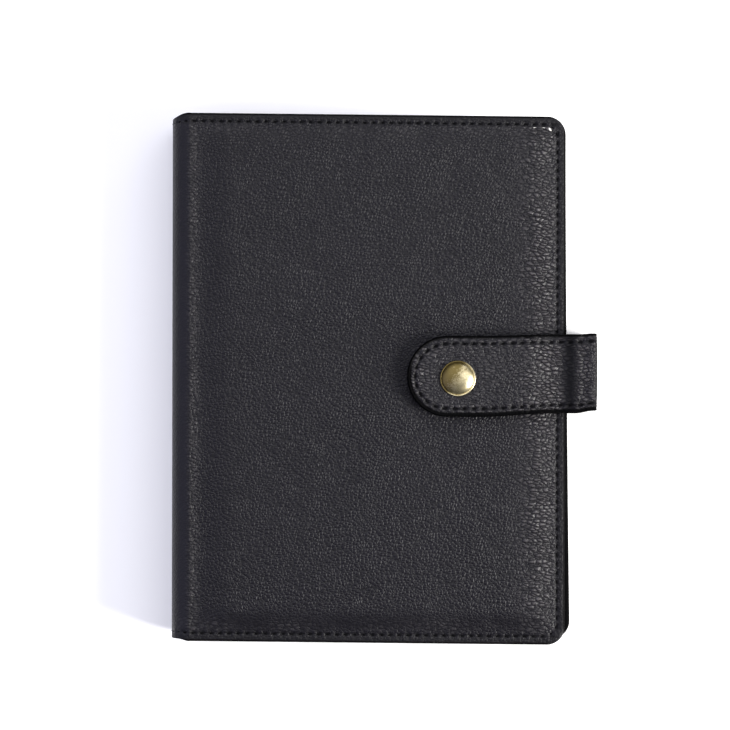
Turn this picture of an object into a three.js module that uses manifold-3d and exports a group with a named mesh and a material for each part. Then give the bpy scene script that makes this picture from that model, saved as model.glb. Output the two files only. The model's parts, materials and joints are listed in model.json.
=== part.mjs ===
// A six-ring organiser cover in black leather, closed by a snap strap.
// Millimetres, +Z up. It lies on its back cover: spine at -X, fore-edge at +X, top of the page at +Y.

import * as THREE from 'three';
import { mergeVertices } from 'three/addons/utils/BufferGeometryUtils.js';
import Module from 'manifold-3d';

const wasm = await Module();
wasm.setup();

// Driving dimensions
const coverHeight = 230;
const frontWidth = 171.5;
const cornerRadius = 8;
const creaseRadius = 8;
const backStepTop = 2;
const backStepBottom = 4.2;

// One cover, from its outer face inwards
const padRise = 1.2;
const padSlope = 9;
const leatherThickness = 1;
const foamThickness = 0.8;
const boardThickness = 1;
const liningThickness = 0.6;
const layerGap = 0.2;
const hemWidth = 6;
const stitchInset = 3.3;
const threadDiameter = 0.7;
const padSteps = 4;

// Inside pockets and pen loop
const pocketThickness = 0.5;
const pocketMargin = 4;
const notePocketHeight = 96;
const slipPocketHeight = 150;
const cardPocketWidth = 60;
const cardPocketHeight = 44;
const cardPocketStep = 15;
const cardPocketCount = 3;
const penBore = 10.5;
const penLoopWall = 0.75;
const penLoopLength = 24;
const penLoopY = 54;
const penLoopProud = 0.5;
const penTongue = 9;

// Ring mechanism
const ringBore = 20;
const ringWire = 2.5;
const ringRoom = 2.5;
const ringClose = 19;
const ringMiddle = 70;
const ringTuck = 0.12;
const basePlateWidth = 17;
const basePlateLength = 186;
const basePlateDepth = 4.2;
const baseLip = 1.2;
const sheetThickness = 0.8;
const leafLength = 168;
const leafRise = 1.2;
const leverLength = 9;
const rivetDiameter = 3;
const rivetHead = 5.4;
const rivetHeadHeight = 0.5;
const rivetSpacing = 44;

// Strap and snap
const strapWidth = 34.1;
const strapFoldWidth = 32.6;
const strapStandOff = 13.5;
const strapLength = 82;
const strapY = 0.4;
const strapFoldY = 2.9;
const strapLow = 1.4;
const strapPly = 1.1;
const strapStitchInset = 3.5;
const strapFoldRadius = 3;
const tongueThickness = 0.8;
const tongueDrop = 0.2;
const strapSlotDepth = 4;
const snapFromTip = 21.5;
const capDiameter = 15.5;
const capHeight = 2.6;
const capWall = 0.9;
const capPinWeld = 0.2;
const capSteps = 6;
const socketDiameter = 12.4;
const snapGap = 3.4;
const studDiameter = 5.4;
const studFlange = 0.5;
const studNeck = 0.8;
const studNeckEnd = 0.55;
const studWaist = 0.75;
const studFillet = 0.2;
const washerDiameter = 11;
const postDiameter = 2.6;
const postHead = 8;
const socketRoof = 0.6;
const springWire = 0.5;
const springGapAngle = 0.5;

const clearance = 0.3;
const runningGap = 0.15;
const seatGap = 0.05;
const creaseGap = 0.15;
const curveSteps = 10;
const tipSteps = 16;

// Sizes that follow from them
const coverStack = leatherThickness + foamThickness + boardThickness + liningThickness + 3 * layerGap;
const rimThickness = coverStack - padRise;
const spineGap = ringBore + 2 * ringWire + 2 * ringRoom;
const totalThickness = 2 * coverStack + spineGap;
const midHeight = totalThickness / 2;
const halfHeight = coverHeight / 2;
const spineStart = creaseRadius;
const spineEnd = totalThickness - creaseRadius;
const spineBoardThickness = boardThickness;
const spineStack = leatherThickness + spineBoardThickness + liningThickness + 2 * layerGap;
const ringRadius = (ringBore + ringWire) / 2;
const leafLevel = sheetThickness + leafRise;
const leafEdge = basePlateWidth / 2 - sheetThickness - clearance;
const ringFootX = leafEdge - ringWire / 2 - baseLip;
const ringFootAngle = Math.PI - Math.asin(ringFootX / ringRadius) + ringTuck;
const ringCentre = leafLevel + sheetThickness + Math.sqrt(ringRadius ** 2 - ringFootX ** 2);
const ringPlaces = [-1, 1].flatMap((side) => [0, 1, 2].map((i) => side * (ringMiddle / 2 + i * ringClose)));
const rivetPlaces = [-rivetSpacing / 2, rivetSpacing / 2];
const rivetDepth = spineStack + clearance - leatherThickness - layerGap;
const pocketStart = spineStack + clearance + ringCentre + ringRadius + ringWire + pocketMargin;
const strapReach = frontWidth + strapStandOff;
const strapTip = strapReach - strapLength;
const snapX = strapTip + snapFromTip;
const strapThickness = 2 * strapPly + layerGap;
const strapFoldLow = strapFoldY - strapFoldWidth / 2;
const strapFoldHigh = strapFoldY + strapFoldWidth / 2;
const tongueLow = padRise + (rimThickness - tongueThickness) / 2 - tongueDrop;
const tabBottom = totalThickness + snapGap;
const tabTop = tabBottom + strapThickness;
const capPostBore = postDiameter / 2 + clearance;

const black = { color: 0x322f38, roughness: 0.5, metalness: 0 };
const blackInside = { color: 0x29272d, roughness: 0.75, metalness: 0 };
const board = { color: 0x8c8378, roughness: 0.9, metalness: 0 };
const foam = { color: 0xd9d6cf, roughness: 0.95, metalness: 0 };
const thread = { color: 0x121114, roughness: 0.7, metalness: 0 };
const brass = { color: 0xb09a60, roughness: 0.35, metalness: 1 };
const steel = { color: 0xc9c9cc, roughness: 0.2, metalness: 1 };

const group = new THREE.Group();
group.position.x = -strapReach / 2;

function finish(look) {
  return new THREE.MeshStandardMaterial(look);
}

function addPiece(name, geometry, look, parent = group) {
  const mesh = new THREE.Mesh(geometry, finish(look));
  mesh.name = name;
  parent.add(mesh);
  return mesh;
}

// Booleans

function toSolid(geometry) {
  const bare = geometry.clone();
  bare.deleteAttribute('normal');
  bare.deleteAttribute('uv');
  const merged = mergeVertices(bare, 1e-4);
  const vertProperties = new Float32Array(merged.attributes.position.array);
  const triVerts = new Uint32Array(merged.index.array);
  return new wasm.Manifold(new wasm.Mesh({ numProp: 3, vertProperties, triVerts }));
}

function toGeometry(solid) {
  const mesh = solid.getMesh();
  const geometry = new THREE.BufferGeometry();
  geometry.setAttribute('position', new THREE.BufferAttribute(mesh.vertProperties, 3));
  geometry.setIndex(new THREE.BufferAttribute(mesh.triVerts, 1));
  geometry.computeVertexNormals();
  return geometry;
}

function cut(body, ...tools) {
  return toGeometry(tools.reduce((solid, tool) => solid.subtract(toSolid(tool)), toSolid(body)));
}

function join(first, ...others) {
  return toGeometry(others.reduce((solid, other) => solid.add(toSolid(other)), toSolid(first)));
}

// Basic shapes

function plate(shape, z, thickness, bevel = {}) {
  const settings = { depth: thickness, bevelEnabled: false, curveSegments: curveSteps, ...bevel };
  return new THREE.ExtrudeGeometry(shape, settings).translate(0, 0, z);
}

function block(x0, x1, y0, y1, z0, z1) {
  const geometry = new THREE.BoxGeometry(x1 - x0, y1 - y0, z1 - z0);
  return geometry.translate((x0 + x1) / 2, (y0 + y1) / 2, (z0 + z1) / 2);
}

function disc(diameter, height, x, y, z) {
  const geometry = new THREE.CylinderGeometry(diameter / 2, diameter / 2, height, 32);
  return geometry.rotateX(Math.PI / 2).translate(x, y, z + height / 2);
}

// An outline in X and Z, pushed along Y
function profileAlongY(shape, y0, y1) {
  const settings = { depth: y1 - y0, bevelEnabled: false, curveSegments: curveSteps };
  const geometry = new THREE.ExtrudeGeometry(shape, settings);
  return geometry.rotateX(Math.PI / 2).translate(0, y1, 0);
}

// A cover panel's outline: square at the spine, round at the fore-edge, stepping out from top to bottom
function panelOutline(inset, stepTop, stepBottom, x0 = spineStart) {
  const top = halfHeight - inset;
  const right = frontWidth - inset;
  const r = Math.max(cornerRadius - inset, 1);
  const shape = new THREE.Shape();
  shape.moveTo(x0, -top);
  shape.lineTo(right + stepBottom - r, -top);
  shape.quadraticCurveTo(right + stepBottom, -top, right + stepBottom, -top + r);
  shape.lineTo(right + stepTop, top - r);
  shape.quadraticCurveTo(right + stepTop, top, right + stepTop - r, top);
  shape.lineTo(x0, top);
  shape.closePath();
  return shape;
}

// The padded leather of one cover, outer face down at z = 0, with a pocket for what it wraps
function coverLeather(stepTop, stepBottom) {
  const padInset = stitchInset + threadDiameter + padSlope;
  const rim = plate(panelOutline(0, stepTop, stepBottom), padRise, rimThickness);
  const padShape = panelOutline(padInset, stepTop, stepBottom, spineStart + padInset);
  const pad = plate(padShape, padRise, layerGap, {
    bevelEnabled: true,
    bevelThickness: padRise,
    bevelSize: padSlope,
    bevelSegments: padSteps,
  });
  const pocketShape = panelOutline(hemWidth, stepTop, stepBottom, spineStart + hemWidth);
  const pocket = plate(pocketShape, leatherThickness, coverStack);
  return cut(join(rim, pad), pocket);
}

// Flat layers that fill the leather's pocket
function coverLayer(name, level, thickness, look, parent, stepTop, stepBottom) {
  const inset = hemWidth + clearance;
  const shape = panelOutline(inset, stepTop, stepBottom, spineStart + inset);
  addPiece(name, plate(shape, level, thickness), look, parent);
}

// Stitching as one thread around three sides of a cover, on the hem's outer face
function coverStitching(stepTop, stepBottom) {
  const half = threadDiameter / 2;
  const level = padRise - threadDiameter - seatGap;
  const outer = panelOutline(stitchInset - half, stepTop, stepBottom);
  const inner = panelOutline(stitchInset + half, stepTop, stepBottom, spineStart - 1);
  return cut(plate(outer, level, threadDiameter), plate(inner, level - 1, threadDiameter + 2));
}

// Levels inside a cover, from its outer face inwards
const foamLevel = leatherThickness + layerGap;
const boardLevel = foamLevel + foamThickness + layerGap;
const liningLevel = boardLevel + boardThickness + layerGap;

function makeBackCover() {
  const strapSlot = block(
    frontWidth - hemWidth - strapSlotDepth,
    strapReach,
    strapFoldLow - clearance,
    strapFoldHigh + clearance,
    tongueLow - layerGap,
    tongueLow + tongueThickness + layerGap,
  );
  const leather = cut(coverLeather(backStepTop, backStepBottom), strapSlot);
  addPiece('back_cover_leather', leather, black);
  addPiece('back_cover_stitching', coverStitching(backStepTop, backStepBottom), thread);
  const steps = [backStepTop, backStepBottom];
  coverLayer('back_cover_foam', foamLevel, foamThickness, foam, group, ...steps);
  coverLayer('back_cover_board', boardLevel, boardThickness, board, group, ...steps);
  coverLayer('back_cover_lining', liningLevel, liningThickness, blackInside, group, ...steps);
}

// A flat pocket on a lining, with a thumb notch in its open edge
function pocketPanel(x0, x1, y0, y1, z) {
  const notch = (x1 - x0) / 8;
  const middle = (x0 + x1) / 2;
  const shape = new THREE.Shape();
  shape.moveTo(x0, y0);
  shape.lineTo(x1, y0);
  shape.lineTo(x1, y1);
  shape.lineTo(middle + notch, y1);
  shape.absarc(middle, y1, notch, 0, Math.PI, true);
  shape.lineTo(x0, y1);
  shape.closePath();
  return plate(shape, z, pocketThickness);
}

function makeNotePocket() {
  const y0 = -halfHeight + hemWidth + pocketMargin;
  const x1 = frontWidth - hemWidth - pocketMargin;
  const z = coverStack + layerGap;
  addPiece('note_pocket', pocketPanel(pocketStart, x1, y0, y0 + notePocketHeight, z), blackInside);
}

function makePenLoop() {
  const radius = penBore / 2 + penLoopWall;
  const x = frontWidth + penLoopProud - radius;
  const z = coverStack + layerGap + radius;
  const y0 = penLoopY - penLoopLength / 2;
  const y1 = penLoopY + penLoopLength / 2;
  const outer = new THREE.Shape();
  outer.absarc(x, z, radius, 0, Math.PI * 2);
  const bore = new THREE.Path();
  bore.absarc(x, z, penBore / 2, 0, Math.PI * 2, true);
  outer.holes.push(bore);
  const tube = profileAlongY(outer, y0, y1);
  const tongueTop = coverStack + layerGap + penLoopWall;
  const tongue = block(x - radius - penTongue, x - radius / 3, y0, y1, coverStack + layerGap, tongueTop);
  addPiece('pen_loop', join(tube, tongue), blackInside);
}

// Spine

function makeSpine() {
  const y = halfHeight;
  const z0 = spineStart + padRise + creaseGap;
  const z1 = spineEnd - padRise - creaseGap;
  const stitchY = halfHeight - stitchInset;
  const half = threadDiameter / 2;
  const grooves = [];
  for (const side of [-1, 1]) {
    const centre = side * stitchY;
    const reach = half + layerGap;
    grooves.push(block(-1, threadDiameter, centre - reach, centre + reach, z0 - 1, z1 + 1));
    const name = side > 0 ? 'spine_stitching_top' : 'spine_stitching_bottom';
    const bar = block(0, threadDiameter - layerGap, centre - half, centre + half, z0 + 1, z1 - 1);
    addPiece(name, bar, thread);
  }
  addPiece('spine_leather', cut(block(0, leatherThickness, -y, y, z0, z1), ...grooves), black);
  const holes = rivetPlaces.map((at) => rivetHole(at));
  const inset = hemWidth / 2;
  const boardX = leatherThickness + layerGap;
  const liningX = boardX + spineBoardThickness + layerGap;
  const spineBoard = block(boardX, boardX + spineBoardThickness, -y + inset, y - inset, z0, z1);
  const lining = block(liningX, liningX + liningThickness, -y + inset, y - inset, z0, z1);
  addPiece('spine_board', cut(spineBoard, ...holes), board);
  addPiece('spine_lining', cut(lining, ...holes), blackInside);
}

function rivetHole(y) {
  const radius = rivetDiameter / 2 + clearance;
  const hole = new THREE.CylinderGeometry(radius, radius, 4 * spineStack, 24);
  return hole.rotateZ(Math.PI / 2).translate(0, y, midHeight);
}

// The soft leather that turns through a quarter circle between a cover and the spine
function creaseLeather(flip) {
  const outer = creaseRadius;
  const inner = creaseRadius - leatherThickness - liningThickness;
  const shape = new THREE.Shape();
  const centreX = spineStart;
  const centreZ = padRise + creaseRadius;
  const turn = creaseGap / inner;
  const start = Math.PI + turn;
  const end = 1.5 * Math.PI - turn;
  shape.absarc(centreX, centreZ, outer, start, end, false);
  shape.absarc(centreX, centreZ, inner, end, start, true);
  shape.closePath();
  const geometry = profileAlongY(shape, -halfHeight, halfHeight);
  return flip ? geometry.rotateX(Math.PI).translate(0, 0, totalThickness) : geometry;
}

function makeCreases() {
  addPiece('back_crease_leather', creaseLeather(false), black);
  addPiece('front_crease_leather', creaseLeather(true), black);
}

// Ring mechanism, built flat with its rings up, then stood on the inner face of the spine

class RingArc extends THREE.Curve {
  constructor(side, y) {
    super();
    this.side = side;
    this.y = y;
  }

  getPoint(t, target = new THREE.Vector3()) {
    const first = Math.asin(runningGap / ringRadius);
    const angle = first + t * (ringFootAngle - first);
    const x = this.side * ringRadius * Math.sin(angle);
    return target.set(x, this.y, ringCentre + ringRadius * Math.cos(angle));
  }
}

function ringSweep(side, y, diameter) {
  const section = new THREE.Shape();
  section.absarc(0, 0, diameter / 2, 0, Math.PI * 2);
  return new THREE.ExtrudeGeometry(section, {
    steps: 12,
    bevelEnabled: false,
    curveSegments: 5,
    extrudePath: new RingArc(side, y),
  });
}

function makeLeaf(side, name, parent) {
  const half = leafLength / 2;
  const x0 = side * runningGap;
  const x1 = side * leafEdge;
  const top = leafLevel + sheetThickness;
  const sheet = block(Math.min(x0, x1), Math.max(x0, x1), -half, half, leafLevel, top);
  const holes = ringPlaces.map((y) => ringSweep(side, y, ringWire + 2 * clearance));
  addPiece(name, cut(sheet, ...holes), steel, parent);
}

function makeBasePlate(parent) {
  const half = basePlateWidth / 2;
  const inner = half - sheetThickness;
  const lip = inner - baseLip;
  const top = basePlateDepth;
  const underLip = top - sheetThickness;
  const shape = new THREE.Shape();
  const points = [
    [-half, 0], [half, 0], [half, top], [lip, top], [lip, underLip], [inner, underLip],
    [inner, sheetThickness], [-inner, sheetThickness], [-inner, underLip],
    [-lip, underLip], [-lip, top], [-half, top],
  ];
  shape.setFromPoints(points.map(([x, z]) => new THREE.Vector2(x, z)));
  const channel = profileAlongY(shape, -basePlateLength / 2, basePlateLength / 2);
  const holes = rivetPlaces.map((y) => disc(rivetDiameter + 2 * clearance, 4, 0, y, -2));
  const reach = ringWire / 2 + 2 * clearance;
  const past = half + 1;
  const notches = ringPlaces.map((y) => block(-past, past, y - reach, y + reach, leafLevel, top + 1));
  addPiece('ring_base_plate', cut(channel, ...holes, ...notches), steel, parent);
}

function makeRivets(parent) {
  rivetPlaces.forEach((y, i) => {
    const headLevel = sheetThickness + 2 * seatGap;
    const shank = disc(rivetDiameter, rivetDepth + headLevel + rivetHeadHeight / 2, 0, y, -rivetDepth);
    const head = disc(rivetHead, rivetHeadHeight, 0, y, headLevel);
    addPiece(`mechanism_rivet_${i + 1}`, join(head, shank), steel, parent);
  });
}

// An end lever: a tongue between the channel's walls and a thumb tab beyond its end
function makeLever(side, name, parent) {
  const start = leafLength / 2 + 2 * clearance;
  const end = basePlateLength / 2;
  const width = 2 * (basePlateWidth / 2 - sheetThickness - baseLip - clearance);
  const shape = new THREE.Shape();
  const floor = sheetThickness + clearance;
  const rise = leverLength * Math.SQRT1_2;
  shape.moveTo(start, floor);
  shape.lineTo(end, floor);
  shape.lineTo(end + rise, floor + rise);
  shape.lineTo(end + rise - sheetThickness, floor + rise + sheetThickness);
  shape.lineTo(end - sheetThickness, floor + 2 * sheetThickness);
  shape.lineTo(start, floor + 2 * sheetThickness);
  shape.closePath();
  const geometry = new THREE.ExtrudeGeometry(shape, { depth: width, bevelEnabled: false });
  geometry.rotateX(Math.PI / 2).rotateZ(Math.PI / 2).translate(-width / 2, 0, 0);
  if (side < 0) {
    geometry.rotateZ(Math.PI);
  }
  addPiece(name, geometry, steel, parent);
}

function makeRingMechanism() {
  const mechanism = new THREE.Group();
  mechanism.position.set(spineStack + clearance, 0, midHeight);
  mechanism.rotation.y = Math.PI / 2;
  group.add(mechanism);
  makeBasePlate(mechanism);
  makeRivets(mechanism);
  makeLeaf(-1, 'ring_leaf_front', mechanism);
  makeLeaf(1, 'ring_leaf_back', mechanism);
  ringPlaces.forEach((y, i) => {
    addPiece(`ring_${i + 1}_front_half`, ringSweep(-1, y, ringWire), steel, mechanism);
    addPiece(`ring_${i + 1}_back_half`, ringSweep(1, y, ringWire), steel, mechanism);
  });
  makeLever(1, 'ring_lever_top', mechanism);
  makeLever(-1, 'ring_lever_bottom', mechanism);
}

// Front cover, built face down like the back one and then turned over

function makeFrontCover() {
  const cover = new THREE.Group();
  const turned = (geometry) => geometry.rotateX(Math.PI).translate(0, 0, totalThickness);
  const hole = disc(postDiameter + 2 * clearance, coverStack * 2, snapX, 0, -1);
  const recess = disc(postHead + 2 * clearance, boardThickness, snapX, 0, boardLevel + boardThickness / 2);
  group.add(cover);
  const inset = hemWidth + clearance;
  const layer = (level, depth) => plate(panelOutline(inset, 0, 0, spineStart + inset), level, depth);
  addPiece('front_cover_leather', turned(cut(coverLeather(0, 0), hole)), black, cover);
  addPiece('front_cover_stitching', turned(coverStitching(0, 0)), thread, cover);
  addPiece('front_cover_foam', turned(cut(layer(foamLevel, foamThickness), hole)), foam, cover);
  addPiece('front_cover_board', turned(cut(layer(boardLevel, boardThickness), hole, recess)), board, cover);
  addPiece('front_cover_lining', turned(layer(liningLevel, liningThickness)), blackInside, cover);
}

function makeFrontPockets() {
  const y0 = -halfHeight + hemWidth + pocketMargin;
  const x1 = frontWidth - hemWidth - pocketMargin;
  const x0 = x1 - cardPocketWidth;
  const step = pocketThickness + layerGap;
  for (let i = 0; i < cardPocketCount; i += 1) {
    const top = y0 + cardPocketHeight + (cardPocketCount - 1 - i) * cardPocketStep;
    const z = totalThickness - coverStack - (i + 1) * step;
    addPiece(`card_pocket_${i + 1}`, pocketPanel(x0, x1, y0, top, z), blackInside);
  }
  const slipTop = y0 + slipPocketHeight;
  const slip = pocketPanel(pocketStart, x0 - pocketMargin, y0, slipTop, totalThickness - coverStack - step);
  addPiece('slip_pocket', slip, blackInside);
}

// Snap fastener

function lathe(points, x, z) {
  const profile = points.map(([r, h]) => new THREE.Vector2(r, h));
  return new THREE.LatheGeometry(profile, 32).rotateX(Math.PI / 2).translate(x, 0, z);
}

function makeStud() {
  const flange = washerDiameter / 2;
  const knob = studDiameter / 2;
  const bore = postDiameter / 2 + runningGap;
  const high = snapGap - clearance - socketRoof;
  const neck = knob * studNeck;
  const stud = [
    [bore, 0], [flange, 0], [flange, studFlange],
    [neck + studFillet, studFlange], [neck, studFlange + studFillet],
    [neck, high * studNeckEnd], [knob, high * studWaist], [neck, high], [bore, high], [bore, 0],
  ];
  addPiece('snap_stud', lathe(stud, snapX, totalThickness + seatGap), brass);
  const headLevel = totalThickness - boardLevel - boardThickness;
  const headDepth = boardThickness / 2 - clearance / 2;
  const top = totalThickness + high - headLevel;
  const post = [
    [0, 0], [postHead / 2, 0], [postHead / 2, headDepth], [postDiameter / 2, headDepth],
    [postDiameter / 2, top], [0, top],
  ];
  addPiece('snap_post', lathe(post, snapX, headLevel), brass);
}

function makeCap() {
  const radius = capDiameter / 2;
  const post = postDiameter / 2;
  const drop = tabTop - tabBottom + seatGap + clearance;
  const roof = capHeight - capWall;
  const points = [[0, -drop], [post, -drop], [post, roof - capPinWeld / 2]];
  const inner = radius - capWall;
  for (let i = 1; i <= capSteps; i += 1) {
    const angle = (i / capSteps) * (Math.PI / 2);
    points.push([Math.max(inner * Math.sin(angle), post + capPinWeld), roof * Math.cos(angle)]);
  }
  points.push([radius, 0]);
  for (let i = capSteps - 1; i >= 0; i -= 1) {
    const angle = (i / capSteps) * (Math.PI / 2);
    points.push([radius * Math.sin(angle), capHeight * Math.cos(angle)]);
  }
  addPiece('snap_cap', lathe(points, snapX, tabTop + seatGap), brass);
}

function makeSocket() {
  const outer = socketDiameter / 2;
  const bore = studDiameter / 2 + 2 * clearance;
  const groove = bore + springWire + clearance;
  const low = totalThickness + studFlange + clearance + seatGap;
  const high = tabBottom - seatGap;
  const tall = high - low;
  const third = tall / 3;
  const roof = tall - socketRoof;
  const socket = [
    [bore, 0], [outer, 0], [outer, tall], [capPostBore, tall], [capPostBore, roof], [bore, roof],
    [bore, 2 * third], [groove, 2 * third], [groove, third], [bore, third], [bore, 0],
  ];
  addPiece('snap_socket', lathe(socket, snapX, low), brass);
  const section = new THREE.Shape();
  section.absarc(0, 0, springWire / 2, 0, Math.PI * 2);
  const radius = bore + springWire / 2;
  const level = low + tall / 2;
  const arc = new THREE.Curve();
  arc.getPoint = (t, target = new THREE.Vector3()) => {
    const angle = springGapAngle + t * (2 * Math.PI - 2 * springGapAngle);
    return target.set(snapX + radius * Math.cos(angle), radius * Math.sin(angle), level);
  };
  const settings = { steps: 24, bevelEnabled: false, curveSegments: 3, extrudePath: arc };
  const spring = new THREE.ExtrudeGeometry(section, settings);
  addPiece('snap_spring', spring, steel);
}

// Strap

function tangentAngle(px, py, cx, cy, radius, side) {
  const distance = Math.hypot(px - cx, py - cy);
  return Math.atan2(py - cy, px - cx) + side * Math.acos(radius / distance);
}

function tabOutline(inset, foldX) {
  const radius = strapWidth / 2 - inset;
  const cx = strapTip + strapWidth / 2;
  const low = strapFoldLow + inset;
  const high = strapFoldHigh - inset;
  const lowAngle = tangentAngle(foldX, low, cx, strapY, radius, -1);
  const highAngle = tangentAngle(foldX, high, cx, strapY, radius, 1);
  const shape = new THREE.Shape();
  shape.moveTo(foldX, low);
  shape.lineTo(foldX, high);
  shape.absarc(cx, strapY, radius, highAngle, lowAngle, false);
  shape.closePath();
  return shape;
}

function makeTab() {
  const foldX = strapReach - strapFoldRadius - creaseGap;
  const hole = disc(postDiameter + 2 * clearance, 3 * strapThickness, snapX, 0, tabBottom - strapThickness);
  const settings = { curveSegments: tipSteps };
  const inner = plate(tabOutline(0, foldX), tabBottom, strapPly, settings);
  const outer = plate(tabOutline(0, foldX), tabTop - strapPly, strapPly, settings);
  addPiece('strap_tab_inner', cut(inner, hole), blackInside);
  addPiece('strap_tab_outer', cut(outer, hole), black);
  const half = threadDiameter / 2;
  const wide = plate(tabOutline(strapStitchInset - half, foldX), tabTop + seatGap, half, settings);
  const core = tabOutline(strapStitchInset + half, foldX + 2);
  const narrow = plate(core, tabTop - 1, threadDiameter + 2, settings);
  addPiece('strap_tab_stitching', cut(wide, narrow), thread);
}

function makeRiser() {
  const z0 = strapLow + strapFoldRadius + creaseGap;
  const z1 = tabTop - strapFoldRadius - creaseGap;
  const outerX = strapReach - strapPly;
  const innerX = outerX - layerGap - strapPly;
  const half = threadDiameter / 2;
  const grooves = [];
  const rows = [
    ['strap_riser_stitching_top', strapFoldHigh - strapStitchInset],
    ['strap_riser_stitching_bottom', strapFoldLow + strapStitchInset],
  ];
  for (const [name, y] of rows) {
    const reach = half + layerGap;
    const floor = strapReach - threadDiameter;
    grooves.push(block(floor, strapReach + 1, y - reach, y + reach, z0 - 1, z1 + 1));
    const bar = block(floor + layerGap, strapReach, y - half, y + half, z0 + 1, z1 - 1);
    addPiece(name, bar, thread);
  }
  const outer = block(outerX, strapReach, strapFoldLow, strapFoldHigh, z0, z1);
  addPiece('strap_riser_outer', cut(outer, ...grooves), black);
  const inner = block(innerX, innerX + strapPly, strapFoldLow, strapFoldHigh, z0, z1);
  addPiece('strap_riser_inner', inner, blackInside);
}

// The strap's leather where it turns a quarter circle: upwards past the back cover, inwards over the front
function strapFold(centreZ, start) {
  const shape = new THREE.Shape();
  const centreX = strapReach - strapFoldRadius;
  const inner = strapFoldRadius - strapThickness;
  const end = start + Math.PI / 2;
  shape.absarc(centreX, centreZ, strapFoldRadius, start, end, false);
  shape.absarc(centreX, centreZ, inner, end, start, true);
  shape.closePath();
  return profileAlongY(shape, strapFoldLow, strapFoldHigh);
}

function makeStrapFolds() {
  addPiece('strap_fold_lower', strapFold(strapLow + strapFoldRadius, -Math.PI / 2), black);
  addPiece('strap_fold_upper', strapFold(tabTop - strapFoldRadius, 0), black);
}

function makeStrapRoot() {
  const foldX = strapReach - strapFoldRadius - creaseGap;
  const edge = frontWidth + backStepBottom + clearance;
  const outer = block(edge, foldX, strapFoldLow, strapFoldHigh, strapLow, strapLow + strapPly);
  const tongue = block(
    frontWidth - stitchInset + 1,
    foldX - 1,
    strapFoldLow,
    strapFoldHigh,
    tongueLow,
    tongueLow + tongueThickness,
  );
  addPiece('strap_root_outer', join(outer, tongue), black);
  const innerLevel = Math.max(strapLow + strapPly, tongueLow + tongueThickness) + layerGap;
  const inner = block(edge, foldX, strapFoldLow, strapFoldHigh, innerLevel, strapLow + strapThickness);
  addPiece('strap_root_inner', inner, blackInside);
}

makeBackCover();
makeNotePocket();
makePenLoop();
makeCreases();
makeSpine();
makeRingMechanism();
makeFrontCover();
makeFrontPockets();
makeStud();
makeStrapRoot();
makeRiser();
makeStrapFolds();
makeTab();
makeCap();
makeSocket();

export default group;
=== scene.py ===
import json
import math
import bmesh
import bpy
import numpy as np
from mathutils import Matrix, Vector, noise

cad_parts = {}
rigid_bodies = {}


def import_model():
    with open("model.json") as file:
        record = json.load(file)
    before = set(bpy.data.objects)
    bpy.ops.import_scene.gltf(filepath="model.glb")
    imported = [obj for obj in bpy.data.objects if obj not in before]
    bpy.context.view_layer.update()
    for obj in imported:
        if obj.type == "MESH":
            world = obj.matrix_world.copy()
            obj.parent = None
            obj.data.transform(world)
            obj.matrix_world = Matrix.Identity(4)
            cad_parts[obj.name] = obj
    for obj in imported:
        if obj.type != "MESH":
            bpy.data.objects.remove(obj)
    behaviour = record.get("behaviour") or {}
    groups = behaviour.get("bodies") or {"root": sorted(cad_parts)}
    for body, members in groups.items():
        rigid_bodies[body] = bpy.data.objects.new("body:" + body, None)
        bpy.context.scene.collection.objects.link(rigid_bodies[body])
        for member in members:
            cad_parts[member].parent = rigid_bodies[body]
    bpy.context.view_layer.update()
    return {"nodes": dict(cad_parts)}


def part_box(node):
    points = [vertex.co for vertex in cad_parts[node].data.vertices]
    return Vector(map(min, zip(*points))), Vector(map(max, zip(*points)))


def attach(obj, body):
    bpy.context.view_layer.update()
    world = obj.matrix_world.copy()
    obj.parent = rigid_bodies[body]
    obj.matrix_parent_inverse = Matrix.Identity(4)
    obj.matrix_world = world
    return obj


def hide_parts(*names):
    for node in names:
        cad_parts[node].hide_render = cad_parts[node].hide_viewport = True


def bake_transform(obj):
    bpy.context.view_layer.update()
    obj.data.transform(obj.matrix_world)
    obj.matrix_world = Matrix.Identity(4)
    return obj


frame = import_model()
mm = 0.001


def boxOf(node):  # lowest and highest corner in millimetres
    low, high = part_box(node)
    return [value / mm for value in low], [value / mm for value in high]


# Levels and edges that every piece takes from the frame, in millimetres
frontLow, frontHigh = boxOf("front_cover_leather")
backHigh = boxOf("back_cover_leather")[1]
spineLow, spineHigh = boxOf("spine_leather")
creaseHigh = boxOf("front_crease_leather")[1]
tabLow, tabHigh = boxOf("strap_tab_outer")
tabInnerLow = boxOf("strap_tab_inner")[0]
riserLow, riserHigh = boxOf("strap_riser_outer")
rootLow = boxOf("strap_root_outer")[0]
foldLow, foldHigh = boxOf("strap_fold_upper")
capLow, capHigh = boxOf("snap_cap")
snapX = (capLow[0] + capHigh[0]) / 2
snapY = (capLow[1] + capHigh[1]) / 2
halfHeight = frontHigh[1]
spineX = spineLow[0]
topLevel = frontHigh[2]
hemTop = creaseHigh[2]
padRise = topLevel - hemTop
hemThickness = hemTop - frontLow[2]
midLevel = (spineLow[2] + spineHigh[2]) / 2
creaseRadius = frontLow[0] - spineX
print("frame loaded", len(frame["nodes"]), "nodes")


# Camera and light

cameraSetup = {
    "across": 84.3,
    "along": 5.25,
    "distance": 1400.0,
    "frameWidth": 317.5,
    "sensor": 36.0,
    "roll": 0.12,
    "clipEnd": 20,
}


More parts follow.
